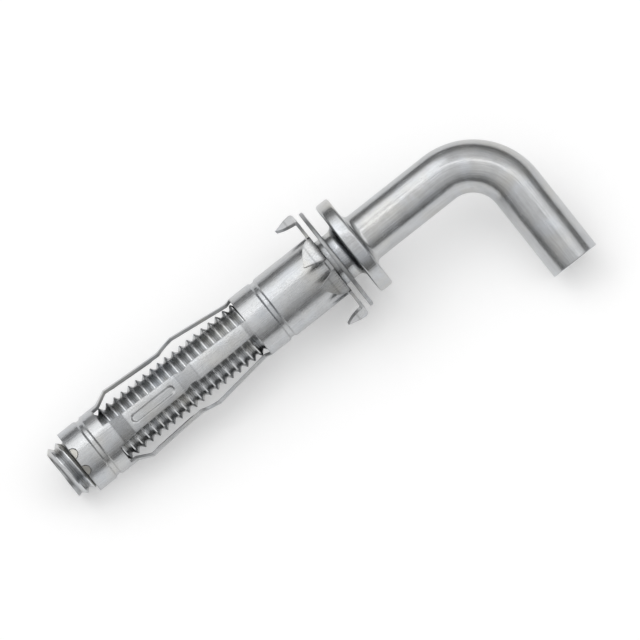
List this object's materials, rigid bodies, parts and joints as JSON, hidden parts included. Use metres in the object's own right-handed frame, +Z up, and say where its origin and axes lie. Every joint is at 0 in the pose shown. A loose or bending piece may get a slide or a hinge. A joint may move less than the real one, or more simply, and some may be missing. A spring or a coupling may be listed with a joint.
{
  "type": "hollow wall anchor",
  "caption": "Metal hollow wall anchor with a clawed flange, a slotted sleeve that folds up behind a board, and a square hook screw with a collar and loose washer.",
  "frame": {"origin": "centre of the footprint, on the surface that the anchor lies on", "axes": "+X along the anchor from the screw's tip to the hook, tilted up 4.9 degrees because the anchor lies on the sleeve's end, two claws and the hook's leg; -Y to the side that the hook's leg points to; +Z up"},
  "size_m": [0.0918, 0.0344, 0.0205],
  "materials": {
    "sleeve_zinc": "pressed sheet, bright zinc plated",
    "nut_zinc": "zinc plated",
    "washer_zinc": "stamped, bright zinc plated",
    "hook_zinc": "drawn rod, bright zinc plated"
  },
  "bodies": {
    "sleeve": {"sleeve": "sleeve_zinc", "nut": "nut_zinc"},
    "washer": {"washer": "washer_zinc"},
    "hook": {"hook": "hook_zinc"}
  },
  "joints": [
    {"name": "hook_turn", "type": "hinge", "parent": "sleeve", "child": "washer", "pos_m": [0.01039, 0.00696, 0.01042], "axis": [0.9964, 0, 0.085], "range_deg": [-451, 1261]},
    {"name": "hook_advance", "type": "slide", "parent": "washer", "child": "hook", "axis": [0.9964, 0, 0.085], "range_m": [-0.00187, 0.00525]}
  ],
  "couplings": [
    {"joint": "hook_turn", "follows": "hook_advance", "rad_per_m": 4188.8}
  ]
}
